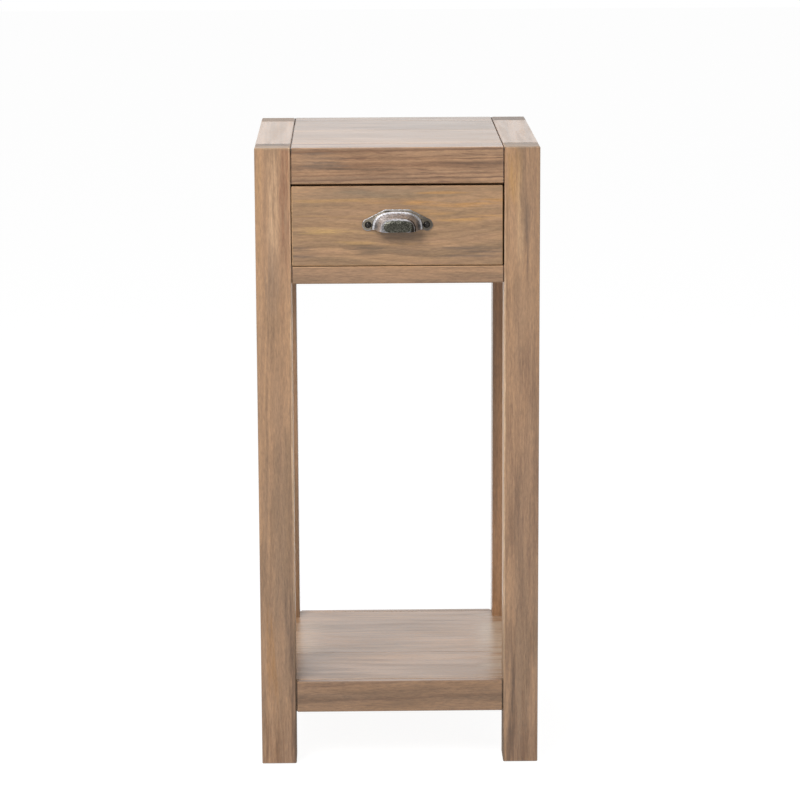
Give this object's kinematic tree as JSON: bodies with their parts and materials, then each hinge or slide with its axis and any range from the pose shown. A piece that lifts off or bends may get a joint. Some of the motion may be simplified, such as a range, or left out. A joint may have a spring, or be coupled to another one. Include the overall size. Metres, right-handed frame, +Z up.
{
  "type": "side table with drawer",
  "caption": "Tall square side table in washed softwood with a flush drawer, a cup pull, an open middle and a low shelf.",
  "frame": {"origin": "on the floor, at the middle of the whole object's box from side to side and from the front of the pull to the back of the legs", "axes": "+Z up, -Y the front that the drawer opens towards, +X to the right of someone who faces the front"},
  "size_m": [0.312, 0.336, 0.7],
  "materials": {
    "washed_pine": "grey-brown wash under a satin clear coat",
    "raw_pine": "planed, unfinished",
    "beech_dowel": "turned, unfinished",
    "antique_pewter": "cast, darkened and rubbed back",
    "blackened_steel": "black oxide, satin",
    "zinc_steel": "bright zinc plated"
  },
  "bodies": {
    "table": {"leg_front_left": "washed_pine", "leg_front_right": "washed_pine", "leg_back_left": "washed_pine", "leg_back_right": "washed_pine", "top_rail_front": "washed_pine", "top_rail_back": "washed_pine", "top_rail_left": "washed_pine", "top_rail_right": "washed_pine", "top_board_front": "washed_pine", "top_board_back": "washed_pine", "top_cleat_front": "raw_pine", "top_cleat_back": "raw_pine", "apron_left": "washed_pine", "apron_right": "washed_pine", "apron_back": "washed_pine", "drawer_rail_front": "washed_pine", "drawer_rail_back": "washed_pine", "drawer_runner_left": "raw_pine", "drawer_runner_right": "raw_pine", "drawer_guide_left": "raw_pine", "drawer_guide_right": "raw_pine", "drawer_kicker_left": "raw_pine", "drawer_kicker_right": "raw_pine", "drawer_stops": "raw_pine", "shelf_board_front": "washed_pine", "shelf_board_back": "washed_pine", "shelf_apron_front": "washed_pine", "shelf_apron_back": "washed_pine", "shelf_apron_left": "washed_pine", "shelf_apron_right": "washed_pine", "shelf_cleat_front": "raw_pine", "shelf_cleat_back": "raw_pine", "shelf_cleat_left": "raw_pine", "shelf_cleat_right": "raw_pine", "dowels_top": "beech_dowel", "dowels_bay": "beech_dowel", "dowels_shelf": "beech_dowel", "top_screws": "zinc_steel", "runner_screws": "zinc_steel", "shelf_screws": "zinc_steel"},
    "drawer": {"drawer_front": "washed_pine", "drawer_side_left": "raw_pine", "drawer_side_right": "raw_pine", "drawer_back": "raw_pine", "drawer_bottom": "raw_pine", "bottom_nails": "zinc_steel", "cup_pull": "antique_pewter", "pull_screws": "blackened_steel", "button_screw": "zinc_steel"},
    "button": {"turn_button": "raw_pine"}
  },
  "joints": [
    {"name": "drawer_slide", "type": "slide", "parent": "table", "child": "drawer", "axis": [0, -1, 0], "range_m": [0, 0.2]},
    {"name": "button_turn", "type": "hinge", "parent": "drawer", "child": "button", "pos_m": [-0.00035, 0.1078, 0.6318], "axis": [0, 1, 0], "range_deg": [0, 90]}
  ]
}
